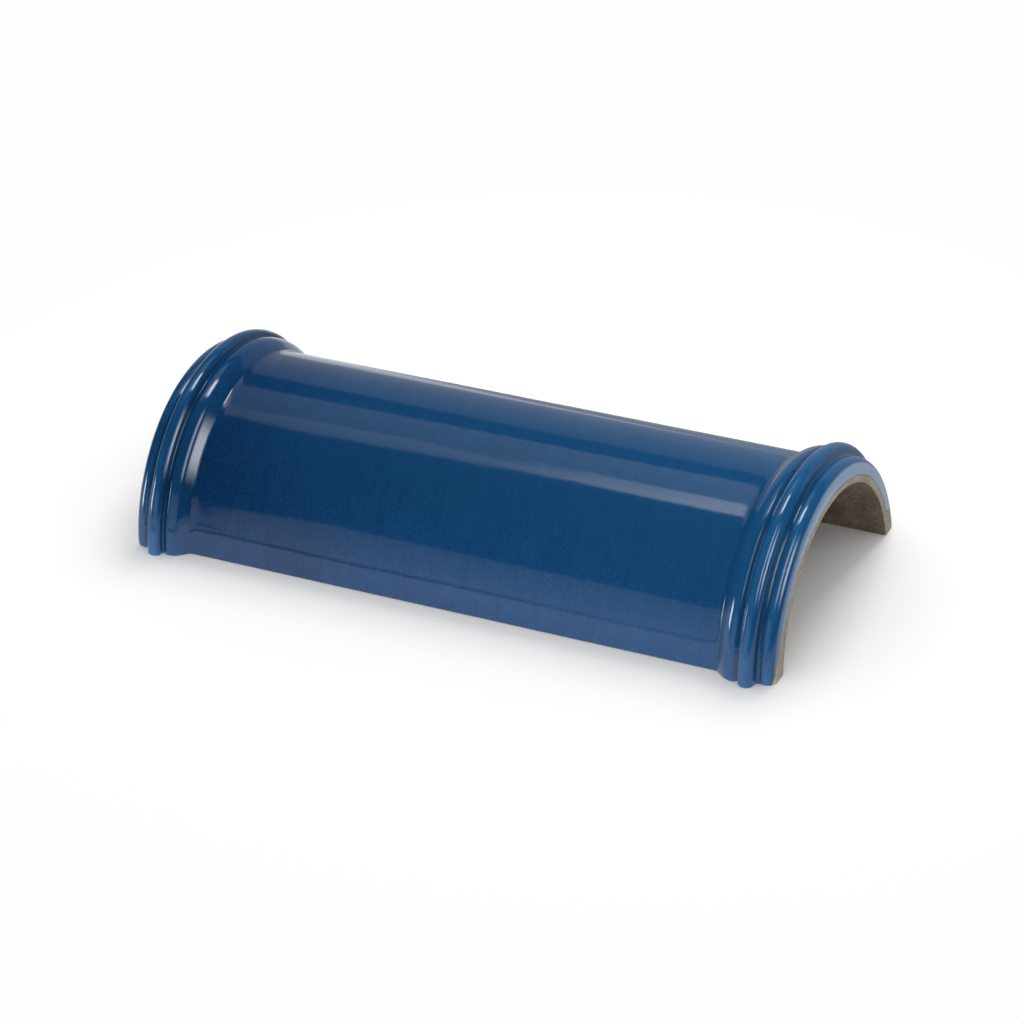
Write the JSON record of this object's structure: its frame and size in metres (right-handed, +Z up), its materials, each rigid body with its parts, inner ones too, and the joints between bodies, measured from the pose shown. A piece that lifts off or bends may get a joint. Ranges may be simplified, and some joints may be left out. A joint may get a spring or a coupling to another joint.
{
  "type": "glazed ridge tile",
  "caption": "Half-round clay ridge tile, glazed on the outside, with a moulded collar of rounded rings at its ends; it straddles a roof ridge on its two feet.",
  "frame": {"origin": "middle of the tile's length and width, on the plane that its feet stand on", "axes": "+X along the ridge, +Z up from the feet to the top of the arch"},
  "size_m": [0.45, 0.2128, 0.0972],
  "materials": {
    "glazed_clay": "glossy deep blue glaze outside, bare grey-brown fired clay on the underside, feet and inner rim"
  },
  "bodies": {
    "root": {"ridge_tile": "glazed_clay"}
  },
  "joints": []
}
